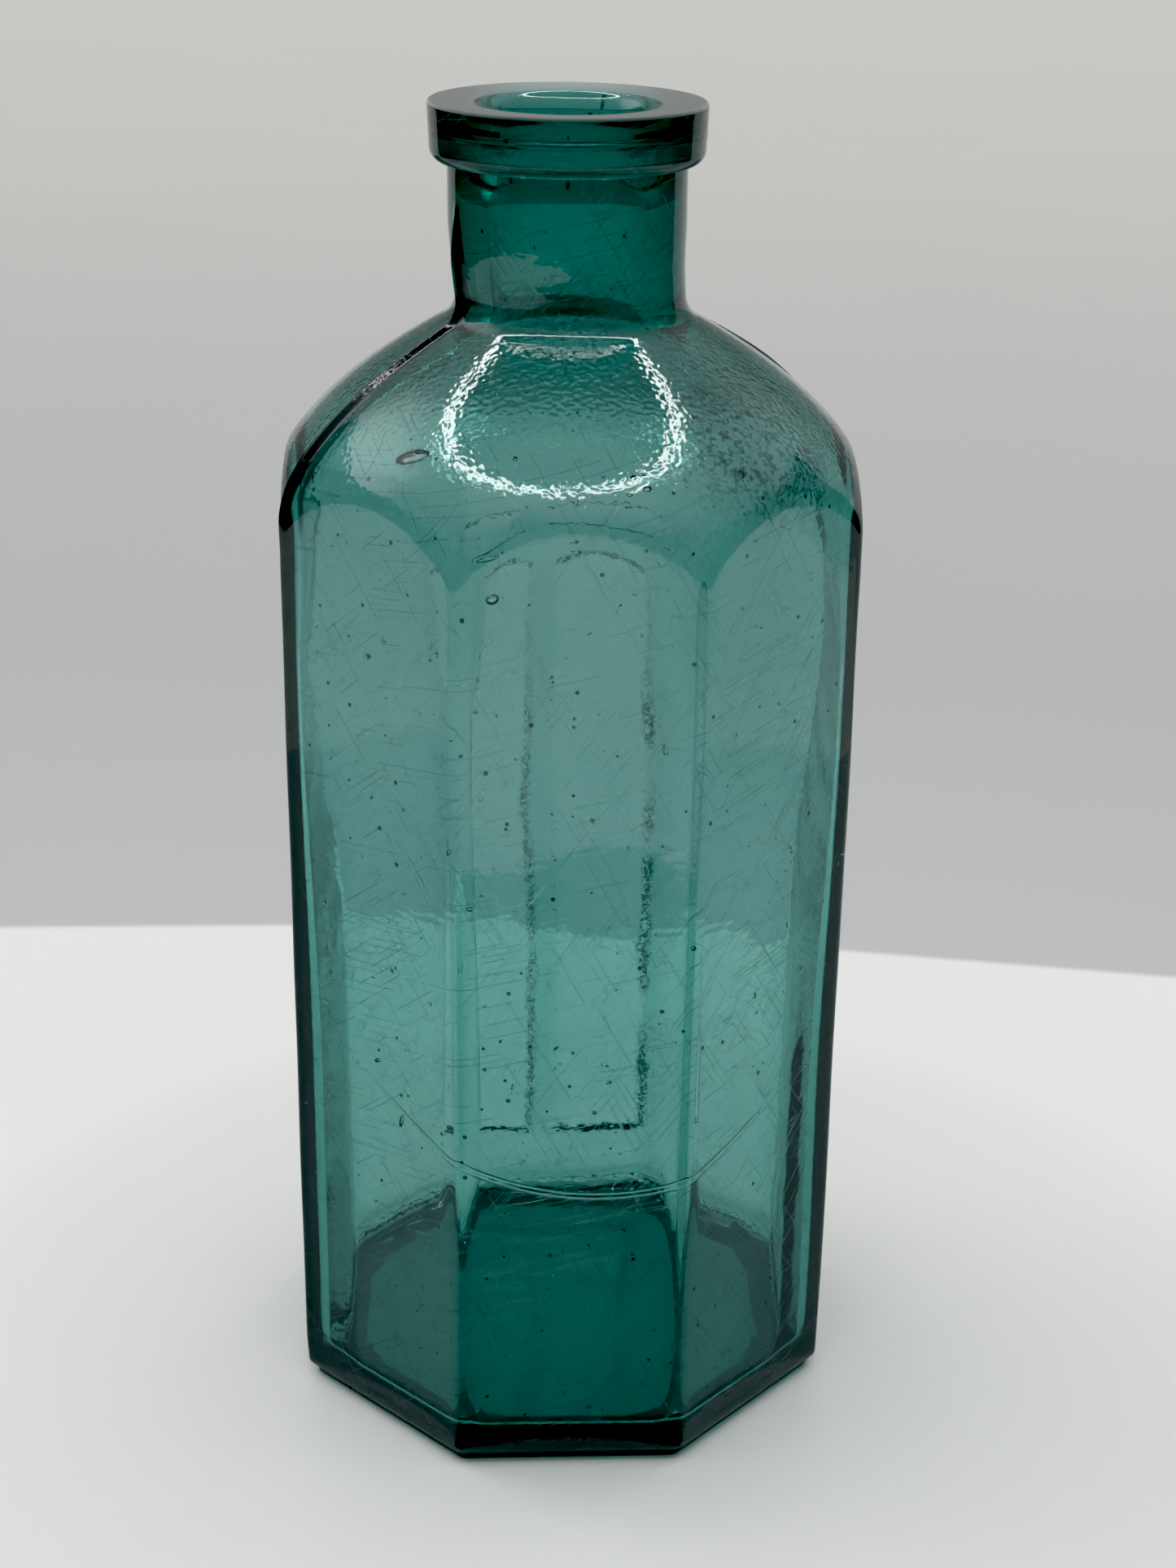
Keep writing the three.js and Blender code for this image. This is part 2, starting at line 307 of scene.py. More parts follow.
def ring_angles():
    """Angles of the grid's columns: close together at corners and label edges."""
    half_width = APOTHEM * math.tan(HALF_PANEL)
    flat = half_width - 2.4 * MM
    corner = np.linspace(flat, half_width, 8)[:-1]
    face = np.r_[-corner[::-1], np.linspace(-flat, flat, 21)[1:-1], corner, -half_width]
    angles = []
    for i in range(PANELS):
        across = face
        if i == 2:  # the back panel, +Y
            edges = [e for left, width in LABEL_COLUMNS for e in (left, left + width)]
            near = [-e + s * 0.2 * MM for e in edges for s in range(-3, 4)]
            across = np.r_[face, near]
        angles.append(np.arctan2(across, APOTHEM) + i * 2 * HALF_PANEL)
    angles = np.sort(np.concatenate(angles) % (2 * math.pi))
    keep = np.r_[True, np.diff(angles) > 0.0006]
    return angles[keep]


THETA = ring_angles()
COS, SIN = np.cos(THETA), np.sin(THETA)


def ring(radii, z):
    return np.column_stack((radii * COS, radii * SIN, np.broadcast_to(z, radii.shape)))


def outwards(points):
    """Level unit vectors away from the axis."""
    radial = np.column_stack((points[:, :2], np.zeros(len(points))))
    return radial / (np.linalg.norm(radial, axis=1)[:, None] + 1e-12)


def base_rings():
    """From the middle of the underside out to the standing edge, the step and the heel."""
    rings = []
    standing_edge = octagon(THETA, APOTHEM - BASE_INSET - 0.5 * MM, CORNER_RADIUS)
    for share in np.linspace(0.02, 1, 26):
        radii = standing_edge * share
        hollow = PUSH_UP_DEPTH * np.clip(1 - (radii / PUSH_UP_RADIUS) ** 2, 0, None)
        rings.append(ring(radii, hollow))
    steps = (  # inset from the body's face and height, in millimetres
        (1.27, 0.08), (1.14, 0.25), (1.1, 0.5), (1.1, 1.0), (1.08, 1.35), (1.0, 1.5),
        (0.85, 1.56), (0.6, 1.6), (0.35, 1.68), (0.15, 1.82), (0.04, 2.0), (0.0, 2.3), (0.0, 2.9),
    )
    for inset, height in steps:
        radii = octagon(THETA, APOTHEM - inset * MM, CORNER_RADIUS)
        rings.append(ring(radii, height * MM))
    return rings


def label_relief(x, z):
    """How far the back panel is sunk, from 0 to 1: two columns with arched tops."""
    relief = np.zeros(len(x))
    for left, width in LABEL_COLUMNS:
        half = width / 2
        head = (half ** 2 + LABEL_RISE ** 2) / (2 * LABEL_RISE)
        across = half - np.abs(x - left - half)
        over = head - np.hypot(x - left - half, z - (LABEL_SPRING + LABEL_RISE - head))
        top = np.where(z > LABEL_SPRING - head / 2, over, 1.0)
        inside = np.minimum(np.minimum(across, z - LABEL_BOTTOM), top)
        at_side = across < inside + 1e-9
        softness = np.where(at_side, np.where(x > left + half, 0.85, 1.1), 0.8)
        edge = LABEL_EDGE * softness
        relief = np.maximum(relief, smoothstep(-edge, edge, inside))
    return relief


def wall_rows():
    """Heights of the rings on the straight body, closer at the ends of the label panel."""
    rows = np.r_[
        np.arange(3.6 * MM, SHOULDER_START - 4.5 * MM, 0.8 * MM),
        LABEL_BOTTOM + np.arange(-5, 6) * 0.17 * MM,
        LABEL_SPRING + np.arange(-4, 14) * 0.25 * MM,
    ]
    rows = np.sort(rows)
    return rows[np.r_[True, np.diff(rows) > 0.08 * MM]]


def seam_relief(points):
    """The raised line that the mould left: on the shoulder and up the neck."""
    azimuth = np.arctan2(points[:, 1], points[:, 0])
    radius = np.hypot(points[:, 0], points[:, 1])
    relief = np.zeros(len(points))
    for degrees, end in SEAMS:
        off = (azimuth - math.radians(degrees) + math.pi) % (2 * math.pi) - math.pi
        fade = 1 - smoothstep(end - 8 * MM, end, points[:, 2])
        relief += fade * np.exp(-((radius * off / SEAM_WIDTH) ** 2))
    height = SEAM_LOW + (SEAM_HIGH - SEAM_LOW) * smoothstep(
        SHOULDER_START, SHOULDER_START + 9 * MM, points[:, 2])
    return height * relief * smoothstep(2 * MM, 6 * MM, points[:, 2])


def outer_rings():
    """From the middle of the underside up the outside to the end of the neck."""
    rings = base_rings()
    body = octagon(THETA, APOTHEM, CORNER_RADIUS)
    for z in wall_rows():
        rings.append(ring(body, z))
    for radius, z in evenly(outer_profile(), 0.55 * MM):
        rings.append(ring(soft_min(body, radius, OUTSIDE_BLEND), z))
    points = np.array(rings)
    flat = points.reshape(-1, 3)
    above_base = smoothstep(2.5 * MM, 8 * MM, flat[:, 2])
    below_neck = 1 - smoothstep(NECK_END - 8 * MM, NECK_END - 4 * MM, flat[:, 2])
    swell = 0.04 * MM * waves(flat, 26 * MM, 3) * above_base * below_neck
    out = swell + seam_relief(flat) * below_neck
    flat += outwards(flat) * out[:, None]
    back = flat[:, 1] > APOTHEM * 0.9
    ragged = 0.05 * MM * waves(flat[back], 3.5 * MM, 31)
    flat[back, 1] -= LABEL_DEPTH * label_relief(flat[back, 0] + ragged, flat[back, 2] + ragged)
    return points


def ripples(points):
    """Fine level ripples round the inside, where the glass cooled against the mould."""
    high, low = RIPPLE_HEIGHTS
    z = points[:, 2]
    middle = (high + low) / 2
    band = np.clip(1 - ((z - middle) / (middle - low)) ** 2, 0, None)
    wander = z + 1.6 * MM * waves(points, 17 * MM, 21) + 0.5 * MM * waves(points, 5 * MM, 22)
    patchy = np.clip(0.6 + 0.5 * waves(points, 14 * MM, 23), 0, 1.2)
    return RIPPLE_SIZE * band * patchy * np.sin(2 * math.pi * wander / RIPPLE_SPACING)


def inside_octagon(z, inset=0.0):
    """Radii of the inside of the straight body, where the glass sagged towards the base."""
    sag = float(smoothstep(SAG_START, SAG_FULL, z))
    corner = INSIDE_CORNER_HIGH + (INSIDE_CORNER_LOW - INSIDE_CORNER_HIGH) * sag
    side = smoothstep(0.80, 0.93, np.abs(COS))
    return octagon(THETA, APOTHEM - WALL - inset, corner) - SIDE_SAG * sag * side


def inner_rings():
    """From the end of the neck down the inside to the middle of the floor."""
    rings = []
    for radius, z in evenly(inner_profile()[::-1], 0.8 * MM):
        rings.append(ring(soft_min(inside_octagon(z), radius, INSIDE_BLEND), z))
    high, low = RIPPLE_HEIGHTS
    straight = np.r_[
        np.arange(SHOULDER_START - 15.5 * MM, high, -1.6 * MM),
        np.arange(high, low, -0.3 * MM),
        np.arange(low, FLOOR + INSIDE_HEEL + 0.5 * MM, -1.6 * MM),
    ]
    for z in straight:
        rings.append(ring(inside_octagon(z), z))
    for degrees in np.linspace(0, 90, 9):
        inset = INSIDE_HEEL * (1 - math.cos(math.radians(degrees)))
        height = FLOOR + INSIDE_HEEL * (1 - math.sin(math.radians(degrees)))
        rings.append(ring(inside_octagon(height, inset), height))
    floor_edge = inside_octagon(0, INSIDE_HEEL)
    for share in np.linspace(0.96, 0.02, 20):
        rings.append(ring(floor_edge * share, FLOOR + FLOOR_RISE * (1 - share ** 2)))
    points = np.array(rings)
    flat = points.reshape(-1, 3)
    wall = smoothstep(FLOOR + INSIDE_HEEL, 16 * MM, flat[:, 2])
    wall *= 1 - smoothstep(SHOULDER_START + 4 * MM, SHOULDER_START + 18 * MM, flat[:, 2])
    broad = 0.09 * MM * waves(flat, 45 * MM, 11)
    narrow = 0.015 * MM * waves(flat * (1, 1, 1.6), 13 * MM, 12)
    flat += outwards(flat) * ((broad + narrow) * wall + ripples(flat))[:, None]
    back = flat[:, 1] > (APOTHEM - WALL) * 0.9
    x, z = flat[back, 0], flat[back, 2]
    behind = smoothstep(16 * MM, 10 * MM, np.abs(x)) * smoothstep(8 * MM, 15 * MM, z)
    flat[back, 1] -= BACK_SWELL * behind * smoothstep(96 * MM, 87 * MM, z)
    return points


def grid_mesh(name, grid, poles, hollows=()):
    """A closed mesh from rings of equal length. poles are the points that close its two ends,
    or None where the last ring joins the first. hollows are (points, faces) of closed shells
    inside it."""
    rows, columns, _ = grid.shape
    vertices = grid.reshape(-1, 3)
    index = np.arange(rows * columns).reshape(rows, columns)
    closing = index if poles else np.vstack((index, index[:1]))
    here, after = closing[:-1], closing[1:]
    quads = np.stack(
        (here, np.roll(here, -1, 1), np.roll(after, -1, 1), after), axis=-1
    ).reshape(-1, 4)
    faces = quads.tolist()
    if poles:
        vertices = np.vstack((vertices, poles))
        first, last = rows * columns, rows * columns + 1
        for j in range(columns):
            k = (j + 1) % columns
            faces.append((int(index[0, k]), int(index[0, j]), first))
            faces.append((int(index[-1, j]), int(index[-1, k]), last))
    for points, shell in hollows:
        faces.extend([[i + len(vertices) for i in face] for face in shell])
        vertices = np.vstack((vertices, points))
    mesh = bpy.data.meshes.new(name)
    mesh.from_pydata(vertices.tolist(), [], faces)
    mesh.validate()
    mesh.update()
    return mesh


def lean(points):
    """Moves the neck and lip a little to one side, more towards the rim."""
    rise = np.clip(points[..., 2] - SHOULDER_START - 24.5 * MM, 0, None) / (4 * MM)
    points[..., 0] += NECK_LEAN * rise ** 2 / (1 + rise ** 2)
    return points


def add_piece(name, mesh, node, material):
    piece = bpy.data.objects.new(name, mesh)
    bpy.context.collection.objects.link(piece)
    for polygon in mesh.polygons:
        polygon.use_smooth = True
    mesh.materials.append(material)
    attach(piece, "root")
    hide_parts(node)


def bubble_list():
    """The bubbles above and many small ones, more of them in the upper half."""
    source = np.random.default_rng(17)
    bubbles = list(BUBBLES)
    for _ in range(SMALL_BUBBLES):
        size = 0.09 + 0.2 * source.random() ** 3
        bubbles.append((
            source.uniform(0, 360), 8 + 112 * source.random() ** 0.7, source.uniform(1.0, 1.6),
            size * source.uniform(1, 1.9), size, source.uniform(60, 120),
        ))
    return bubbles


def surface_at(azimuth, height):
    """A point on the outside and the outward direction there."""
    profile = outer_profile()
    around = (math.cos(azimuth), math.sin(azimuth))
    dome = float(np.interp(height, profile[:, 1], profile[:, 0]))
    flat = float(octagon(np.array([azimuth]), APOTHEM, CORNER_RADIUS)[0])
    if height < SHOULDER_START or flat < dome:
        middle = azimuth - float(panel_angle(azimuth))
        return Vector((*[flat * c for c in around], height)), Vector(
            (math.cos(middle), math.sin(middle), 0))
    step = 0.2 * MM
    above = float(np.interp(height + step, profile[:, 1], profile[:, 0]))
    outward = Vector((*around, (dome - above) / step)).normalized()
    return Vector((*[dome * c for c in around], height)), outward


def round_shell():
    """Points and inward-facing faces of a sphere of radius 1."""
    ball = bmesh.new()
    bmesh.ops.create_icosphere(ball, subdivisions=2, radius=1)
    points = np.array([vertex.co for vertex in ball.verts])
    faces = [[vertex.index for vertex in reversed(face.verts)] for face in ball.faces]
    ball.free()
    return points, faces


def bubble_shells():
    """Closed hollows inside the glass, facing inwards as a bubble's surface does."""
    ball, faces = round_shell()
    for azimuth, height, depth, half_length, half_width, slant in bubble_list():
        point, outward = surface_at(math.radians(azimuth), height * MM)
        level = Vector((0, 0, 1)).cross(outward).normalized()
        upwards = outward.cross(level)
        slant = math.radians(slant)
        along = level * math.cos(slant) + upwards * math.sin(slant)
        across = outward.cross(along)
        sizes = np.array((half_length, half_width, half_width * 0.8)) * MM
        axes = np.array((along, across, outward))
        yield np.array(point - outward * depth * MM) + (ball * sizes) @ axes, faces


def make_body(material):
    outer, inner = outer_rings(), inner_rings()
    grid = lean(np.concatenate((outer, inner)))
    poles = [(0, 0, PUSH_UP_DEPTH), (0, 0, FLOOR + FLOOR_RISE)]
    mesh = grid_mesh("blown_glass_body", grid, poles, bubble_shells())
    add_piece("blown_glass_body", mesh, "blown_body", material)


def make_lip(material):
    lower_round, upper_round = 1.4 * MM, 0.45 * MM
    lower_radius = LIP_RADIUS - 0.2 * MM
    inner = NECK_RADIUS_HIGH - FUSED
    shelf = NECK_END - FUSED
    lower = arc((lower_radius - lower_round, LIP_BOTTOM + lower_round), lower_round, -90, 0, 10)
    upper = arc((LIP_RADIUS - upper_round, RIM - upper_round), upper_round, 0, 90, 6)
    mouth = bezier((
        (MOUTH_RADIUS + 1.6 * MM, RIM - 0.2 * MM),
        (MOUTH_RADIUS - 0.1 * MM, RIM - 0.25 * MM),
        (flare(RIM - 1.4 * MM), RIM - 1.4 * MM),
        (flare(RIM - 2.6 * MM), RIM - 2.6 * MM),
    ), 12)
    profile = np.vstack((
        [(inner, LIP_BOTTOM)],
        lower, upper, mouth,
        [(flare(shelf), shelf), (inner, shelf)],
    ))
    profile = evenly(np.vstack((profile, profile[:1])), 0.25 * MM)[:-1]
    grid = np.array([ring(np.full(len(THETA), r), z) for r, z in profile])
    mesh = grid_mesh("collar_lip", lean(grid), None)
    add_piece("collar_lip", mesh, "applied_lip", material)


# ---- Materials ------------------------------------------------------------------------

class Graph:
    """Adds nodes in short calls. An input is a number, a vector or another node's socket."""

    def __init__(self, tree):
        self.nodes, self.links = tree.nodes, tree.links

    def node(self, kind, inputs=(), **settings):
        node = self.nodes.new(kind)
        for key, value in settings.items():
            setattr(node, key, value)
        for key, value in dict(inputs).items():
            if isinstance(value, bpy.types.NodeSocket):
                self.links.new(value, node.inputs[key])
            else:
                node.inputs[key].default_value = value
        return node

    def maths(self, operation, *values):
        return self.node("ShaderNodeMath", enumerate(values), operation=operation).outputs[0]

    def step(self, value, low, high):
        """From 0 at low to 1 at high, smoothly."""
        inputs = {"Value": value, "From Min": low, "From Max": high}
        node = self.node("ShaderNodeMapRange", inputs, interpolation_type="SMOOTHSTEP")
        return node.outputs["Result"]

    def noise(self, vector, scale, detail=2):
        inputs = {"Vector": vector, "Scale": scale, "Detail": detail}
        return self.node("ShaderNodeTexNoise", inputs).outputs["Fac"]

    def stretched(self, vector, turn, lengths):
        """Coordinates in which noise of scale 1 has features of the given lengths."""
        inputs = {"Vector": vector, "Rotation": turn, "Scale": lengths}
        return self.node("ShaderNodeMapping", inputs, vector_type="TEXTURE").outputs[0]

    def near(self, vector, centre, radius):
        """1 close to a point, falling to 0 at radius."""
        inputs = ((0, vector), (1, centre))
        gap = self.node("ShaderNodeVectorMath", inputs, operation="DISTANCE").outputs["Value"]
        return self.step(gap, radius, radius * 0.3)


def seam_line(graph, x, y, z):
    """1 along the mould seams on the shoulder and the neck, 0 elsewhere."""
    line = 0.0
    for degrees, end in SEAMS:
        cos, sin = math.cos(math.radians(degrees)), math.sin(math.radians(degrees))
        off = graph.maths("MULTIPLY_ADD", x, sin, graph.maths("MULTIPLY", y, -cos))
        out = graph.maths("MULTIPLY_ADD", x, cos, graph.maths("MULTIPLY", y, sin))
        near = graph.step(graph.maths("ABSOLUTE", off), SEAM_HALF_WIDTH, SEAM_HALF_WIDTH * 0.75)
        near = graph.maths("MULTIPLY", near, graph.step(z, end - 2 * MM, end - 11 * MM))
        line = graph.maths("MULTIPLY_ADD", near, graph.step(out, 0.004, 0.008), line)
    return graph.maths("MULTIPLY", line, graph.step(z, 0.106, 0.110))


def glass_relief(graph, place, x, y, z):
    """Height of the glass surface's fine relief, in millimetres."""
    shoulder_band = graph.maths(
        "MULTIPLY", graph.step(z, *GRAIN_BEGINS), graph.step(z, *GRAIN_ENDS))
    grain_size = graph.maths("MULTIPLY_ADD", shoulder_band, SHOULDER_GRAIN, GRAIN)
    grain = graph.maths("MULTIPLY", graph.noise(place, 1700, 0), grain_size)
    peel = graph.maths("MULTIPLY", graph.noise(place, 420, 2), PEEL)

    scratches = 0.0
    for turn, width in SCRATCHES:
        lengths = (0.00022 * width, 0.009, 0.016)
        line = graph.step(graph.noise(graph.stretched(place, turn, lengths), 1, 0), 0.76, 0.80)
        scratches = graph.maths("ADD", line, scratches)
    scratches = graph.maths("MULTIPLY", scratches, -SCRATCH_DEPTH)

    # One long hanging crease across the front.
    aside = graph.maths("SUBTRACT", x, CREASE_X)
    aside = graph.maths("MULTIPLY", aside, aside)
    hang = graph.maths("MULTIPLY_ADD", aside, CREASE_BEND, CREASE_HEIGHT)
    off = graph.maths("ABSOLUTE", graph.maths("SUBTRACT", z, hang))
    crease = graph.maths("MULTIPLY", graph.step(off, 0.0002, 0.0), graph.step(y, -0.018, -0.024))
    crease = graph.maths("MULTIPLY", crease, -CREASE_DEPTH)

    total = graph.maths("ADD", grain, peel)
    for part in (scratches, crease):
        total = graph.maths("ADD", total, part)
    return total


def label_edge_shade(graph, place, x, y, z):
    """Painted shade along the edges of the sunken back panel, broken up."""
    (left, narrow), (middle, wide) = LABEL_COLUMNS
    upright = graph.maths("MULTIPLY", graph.step(z, LABEL_BOTTOM - 0.3 * MM, LABEL_BOTTOM),
                          graph.step(z, LABEL_SPRING + 1 * MM, LABEL_SPRING - 12 * MM))
    more_below = graph.maths("MULTIPLY_ADD", graph.step(z, 80 * MM, 66 * MM), 0.65, 0.35)
    upright = graph.maths("MULTIPLY", upright, more_below)
    # Place, width in millimetres and strength of the upright lines, then height, arch and
    # strength of the level ones.
    sides = ((left, 0.7, 0.8), (left + narrow, 1.0, 0.9), (middle + wide, 1.4, 1.4))
    ends = ((LABEL_SPRING + LABEL_RISE, 1.0, 1.2), (LABEL_BOTTOM, 0.0, 0.8))
    total = 0.0
    for edge, width, strength in sides:
        gap = graph.maths("ABSOLUTE", graph.maths("SUBTRACT", x, edge))
        line = graph.maths("MULTIPLY", graph.step(gap, width * MM, 0.15 * width * MM), upright)
        total = graph.maths("MAXIMUM", total, graph.maths("MULTIPLY", line, strength))
    for start, width in LABEL_COLUMNS:
        off = graph.maths("DIVIDE", graph.maths("SUBTRACT", x, start + width / 2), width / 2)
        across = graph.step(graph.maths("ABSOLUTE", off), 1.03, 0.9)
        bow = graph.maths("MULTIPLY", graph.maths("MULTIPLY", off, off), LABEL_RISE)
        for height, arched, strength in ends:
            level = graph.maths("MULTIPLY_ADD", bow, arched, z)
            gap = graph.maths("ABSOLUTE", graph.maths("SUBTRACT", level, height))
            line = graph.maths("MULTIPLY", graph.step(gap, 0.9 * MM, 0.15 * MM), across)
            total = graph.maths("MAXIMUM", total, graph.maths("MULTIPLY", line, strength))
    broken = graph.step(graph.noise(place, 2400, 3), 0.36, 0.58)
    broken = graph.maths("MULTIPLY", broken, graph.step(graph.noise(place, 110, 2), 0.30, 0.5))
    back = graph.step(y, APOTHEM - 2 * MM, APOTHEM - 1.5 * MM)
    total = graph.maths("MULTIPLY", graph.maths("MULTIPLY", total, broken), back)
    return graph.maths("MINIMUM", total, 0.95)


def glass_soil_and_shade(graph, place, x, y, z):
    """Share of light stopped by specks, by dirt on the shoulder and neck, and by the seams; part
    of it is painted shade: on the shoulder's dirt, along the back panel's edges and along the
    seams.
    """
    cells = graph.node("ShaderNodeTexVoronoi", {"Vector": place, "Scale": 420.0}, feature="F1")
    some = graph.node("ShaderNodeSeparateColor", {"Color": cells.outputs["Color"]}).outputs[0]
    size = graph.maths("MULTIPLY_ADD", some, 0.22, -0.10)
    speck = graph.maths("LESS_THAN", cells.outputs["Distance"], size)
    # Dirt on the right shoulder, made darker than the dirt alone as painted shade.
    shoulder_dirt_and_shade = graph.near(place, *SHOULDER_DIRT_AND_SHADE)
    foot = graph.maths("MULTIPLY", graph.near(place, *NECK_DIRT), 0.5)
    blotch = graph.step(graph.noise(place, 1300, 3), 0.53, 0.62)
    blotch = graph.maths("MULTIPLY_ADD", blotch, 0.7, 0.3)
    dirt_and_shade = graph.maths("MULTIPLY", graph.maths("MAXIMUM", shoulder_dirt_and_shade, foot), blotch)
    soil_and_shade = graph.maths("MAXIMUM", graph.maths("MULTIPLY", speck, 0.95),
                       graph.maths("MULTIPLY", dirt_and_shade, 0.85))
    # Painted shade along the edges of the sunken back panel.
    soil_and_shade = graph.maths("MAXIMUM", soil_and_shade, label_edge_shade(graph, place, x, y, z))
    # The seams are painted nearly black: partly soot, partly painted shade for the light the
    # raised line keeps out.
    return graph.maths("MAXIMUM", soil_and_shade, graph.maths("MULTIPLY", seam_line(graph, x, y, z), 0.97))


def lip_land(graph, z):
    """1 on the ground top of the lip, 0 below it."""
    return graph.step(z, RIM - 0.42 * MM, RIM - 0.3 * MM)


def glass_shine(graph, place, x, y, z):
    """Reflection: none from the dark seams, which are soot and painted shade, but for a few
    glints, strong from the ground land.
    """
    glint = graph.step(graph.noise(place, 650, 1), 0.62, 0.65)
    glint = graph.maths("MULTIPLY", glint, graph.step(z, 0.131, 0.127))
    dull = graph.maths("MULTIPLY", seam_line(graph, x, y, z), graph.maths("SUBTRACT", 1.0, glint))
    shine = graph.maths("MULTIPLY_ADD", dull, -0.5, 0.5)
    return graph.maths("MULTIPLY_ADD", lip_land(graph, z), 0.5, shine)


def glass_roughness(graph, place, x, y, z):
    """Rough on the ground top of the lip, less so on the scuffed heel and the seams."""
    cloud = graph.step(graph.noise(place, 260, 4), 0.48, 0.7)
    heel = graph.maths("MULTIPLY", graph.step(z, 0.012, 0.002), cloud)
    clear = graph.maths("MULTIPLY_ADD", heel, 0.10, 0.015)
    clear = graph.maths("MULTIPLY_ADD", seam_line(graph, x, y, z), 0.12, clear)
    return graph.maths("MULTIPLY_ADD", lip_land(graph, z), 0.55, clear)


def glass_material():
    material = bpy.data.materials.new("aqua_glass")
    material.use_nodes = True
    graph = Graph(material.node_tree)
    graph.nodes.clear()
    place = graph.node("ShaderNodeTexCoord").outputs["Object"]
    x, y, z = graph.node("ShaderNodeSeparateXYZ", {"Vector": place}).outputs[:]
    bump = graph.node("ShaderNodeBump", {
        "Height": glass_relief(graph, place, x, y, z), "Strength": 1.0, "Distance": 1 * MM,
    })
    soil_and_shade = glass_soil_and_shade(graph, place, x, y, z)
    tone = graph.node("ShaderNodeMix", {"Factor": soil_and_shade}, data_type="RGBA")
    tone.inputs["A"].default_value = (1, 1, 1, 1)
    tone.inputs["B"].default_value = (*SOIL_AND_SHADE_TONE, 1)
    glass = graph.node("ShaderNodeBsdfPrincipled", {
        "Base Color": tone.outputs["Result"],
        "Roughness": glass_roughness(graph, place, x, y, z),
        "Specular IOR Level": glass_shine(graph, place, x, y, z),
        "Transmission Weight": 1.0,
        "Sheen Weight": graph.maths("MULTIPLY", 0.8, lip_land(graph, z)),
        "IOR": GLASS_IOR,
        "Normal": bump.outputs["Normal"],
    })
    most = max(ABSORBED_PER_METRE)
    volume = graph.node("ShaderNodeVolumeAbsorption", {
        "Color": (*[1 - a / most for a in ABSORBED_PER_METRE], 1), "Density": most,
    })
    graph.node("ShaderNodeOutputMaterial", {
        "Surface": glass.outputs["BSDF"], "Volume": volume.outputs["Volume"],
    })
    return material


# ---- Stage, light and camera ----------------------------------------------------------

def add_ramp(graph, value, stops):
    """A straight-line colour ramp; stops are (position, tone)."""
    node = graph.node("ShaderNodeValToRGB", {"Fac": value})
    node.color_ramp.interpolation = "LINEAR"
    elements = node.color_ramp.elements
    while len(elements) < len(stops):
        elements.new(0.5)
    for element, (at, tone) in zip(elements, stops):
        element.position = at
        element.color = (*tone, 1) if isinstance(tone, tuple) else (tone, tone, tone, 1)
    return node.outputs["Color"]


def make_floor():
    """A pale table, painted paler towards the front as painted light, and, beyond a line behind
    the bottle, the grey tone of a wall.
    """
    corners = ((-1, -1), (1, -1), (1, 1), (-1, 1))
    corners = [(TABLE_HALF * x, TABLE_HALF * y, 0) for x, y in corners]
    mesh = bpy.data.meshes.new("table_top")
    mesh.from_pydata(corners, [], [(0, 1, 2, 3)])
    floor = bpy.data.objects.new("table_top", mesh)
    bpy.context.collection.objects.link(floor)
    material = bpy.data.materials.new("table_and_wall")
    material.use_nodes = True
    graph = Graph(material.node_tree)
    paint = graph.nodes["Principled BSDF"]
    paint.inputs["Roughness"].default_value = 0.6
    paint.inputs["Specular IOR Level"].default_value = 0.0
    place = graph.node("ShaderNodeTexCoord").outputs["Object"]
    x, y, _ = graph.node("ShaderNodeSeparateXYZ", {"Vector": place}).outputs[:]
    # The wall begins along a line that comes forwards on the right.
    rightwards = graph.maths("MAXIMUM", graph.maths("ADD", x, 5 * MM), 0.0)
    bend = graph.maths("MULTIPLY", rightwards, 0.2)
    beyond = graph.maths("SUBTRACT", graph.maths("ADD", y, bend), WALL_DISTANCE)
    edge = graph.step(beyond, -0.0012, 0.0012)
    wall = add_ramp(graph, graph.maths("DIVIDE", beyond, WALL_DEPTH), WALL_TONES)
    mottle = graph.maths("MULTIPLY_ADD", graph.noise(place, 9, 4), 0.03, 0.985)
    # Painted light: paler towards the front.
    table = graph.node("ShaderNodeMix", {"Factor": graph.step(y, -0.25, 0.1)}, data_type="RGBA")
    table.inputs["A"].default_value = (*TABLE_NEAR_PAINTED_PALER, 1)
    table.inputs["B"].default_value = (*TABLE_FAR, 1)
    mix = graph.node("ShaderNodeMix", {"Factor": edge}, data_type="RGBA")
    graph.links.new(table.outputs["Result"], mix.inputs["A"])
    graph.links.new(wall, mix.inputs["B"])
    shade = graph.node("ShaderNodeVectorMath", {0: mix.outputs["Result"]}, operation="SCALE")
    graph.links.new(mottle, shade.inputs["Scale"])
    graph.links.new(shade.outputs[0], paint.inputs["Base Color"])
    mesh.materials.append(material)


def make_reflection_shade_card(tone, start, end, low, high):
    """A dark card that only reflections meet: painted shade in the reflections, unseen by the
    camera and casting no shadow.
    """
    points = []
    for degrees in np.linspace(start, end, 41):
        around = (math.cos(math.radians(degrees)), math.sin(math.radians(degrees)))
        points += [(radius * around[0], radius * around[1], z) for radius, z in (low, high)]
    faces = [(i, i + 2, i + 3, i + 1) for i in range(0, len(points) - 2, 2)]
    mesh = bpy.data.meshes.new("shade_card")
    mesh.from_pydata(points, [], faces)
    shade_card = bpy.data.objects.new("shade_card", mesh)
    bpy.context.collection.objects.link(shade_card)
    material = bpy.data.materials.new("shade_card_material")
    material.use_nodes = True
    card = material.node_tree.nodes["Principled BSDF"]
    card.inputs["Base Color"].default_value = (tone, tone, tone, 1)
    card.inputs["Roughness"].default_value = 0.9
    mesh.materials.append(material)
    shade_card.visible_camera = False
    shade_card.visible_diffuse = False
    shade_card.visible_transmission = False
    shade_card.visible_shadow = False


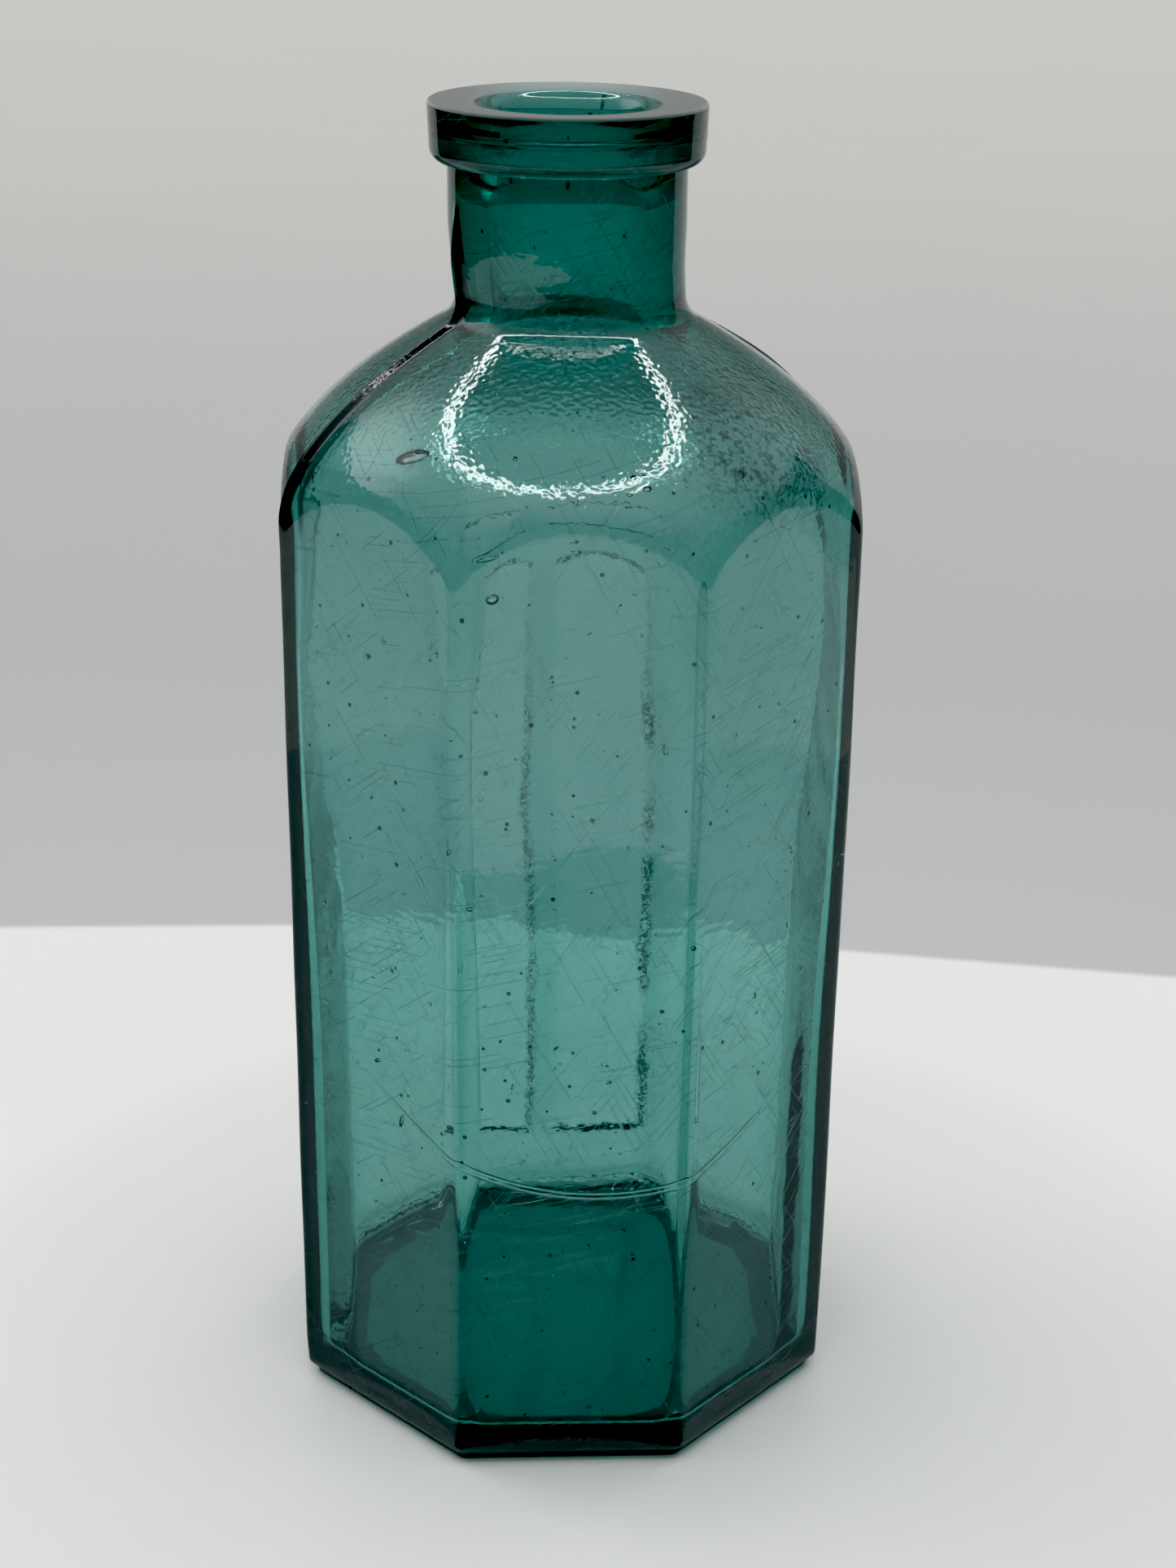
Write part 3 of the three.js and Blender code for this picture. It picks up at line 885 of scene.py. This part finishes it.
def make_world():
    """A soft room, paler behind the bottle than before it, with a ring lamp overhead."""
    world = bpy.data.worlds.new("room")
    bpy.context.scene.world = world
    world.use_nodes = True
    graph = Graph(world.node_tree)
    place = graph.node("ShaderNodeTexCoord").outputs["Generated"]
    y = graph.node("ShaderNodeSeparateXYZ", {"Vector": place}).outputs["Y"]
    dot = graph.node("ShaderNodeVectorMath", {0: place}, operation="DOT_PRODUCT")
    dot.inputs[1].default_value = LAMP_RING
    lamp = add_ramp(graph, dot.outputs["Value"], LAMP_TONES)
    room = graph.maths("MULTIPLY_ADD", graph.step(y, -0.8, 0.8), ROOM_PALER, ROOM_DARK)
    for direction, spread, power in SOFT_WINDOWS:
        facing = graph.node("ShaderNodeVectorMath", {0: place}, operation="DOT_PRODUCT")
        facing.inputs[1].default_value = Vector(direction).normalized()
        glow = graph.step(facing.outputs["Value"], spread, 1.0)
        room = graph.maths("MULTIPLY_ADD", glow, power, room)
    light = graph.maths("MULTIPLY_ADD", lamp, LAMP_POWER, room)
    background = graph.nodes["Background"]
    graph.links.new(light, background.inputs["Strength"])
    background.inputs["Color"].default_value = (1, 1, 0.99, 1)


def make_camera():
    """The photograph's viewpoint: from just left of the front, looking down on the shoulder."""
    data = bpy.data.cameras.new("camera")
    camera = bpy.data.objects.new("camera", data)
    bpy.context.collection.objects.link(camera)
    data.sensor_width = CAMERA_SENSOR
    data.lens = CAMERA_LENS
    data.clip_start = 0.01
    data.clip_end = 100
    yaw, pitch, roll = (math.radians(degrees) for degrees in CAMERA_AIM)
    forward = Vector((
        math.sin(yaw) * math.cos(pitch), math.cos(yaw) * math.cos(pitch), -math.sin(pitch),
    ))
    level = forward.cross(Vector((0, 0, 1))).normalized()
    upright = level.cross(forward)
    right = level * math.cos(roll) + upright * math.sin(roll)
    up = upright * math.cos(roll) - level * math.sin(roll)
    turn = Matrix((right, up, -forward)).transposed().to_4x4()
    camera.matrix_world = Matrix.Translation(CAMERA_PLACE) @ turn
    bpy.context.scene.camera = camera


def set_rendering():
    scene = bpy.context.scene
    cycles = scene.cycles
    cycles.max_bounces = 32
    cycles.transmission_bounces = 32
    cycles.glossy_bounces = 12
    cycles.diffuse_bounces = 4
    cycles.caustics_refractive = True
    cycles.caustics_reflective = True
    cycles.blur_glossy = 0.3
    cycles.sample_clamp_indirect = 14.0
    cycles.use_denoising = True
    cycles.seed = 3
    view = scene.view_settings
    view.view_transform = "Standard"
    view.use_curve_mapping = True
    view.curve_mapping.black_level = BLACK_LEVEL
    view.curve_mapping.update()


glass = glass_material()
make_body(glass)
make_lip(glass)
make_floor()
for shade_card in REFLECTION_SHADE_CARDS:
    make_reflection_shade_card(*shade_card)
make_world()
make_camera()
set_rendering()
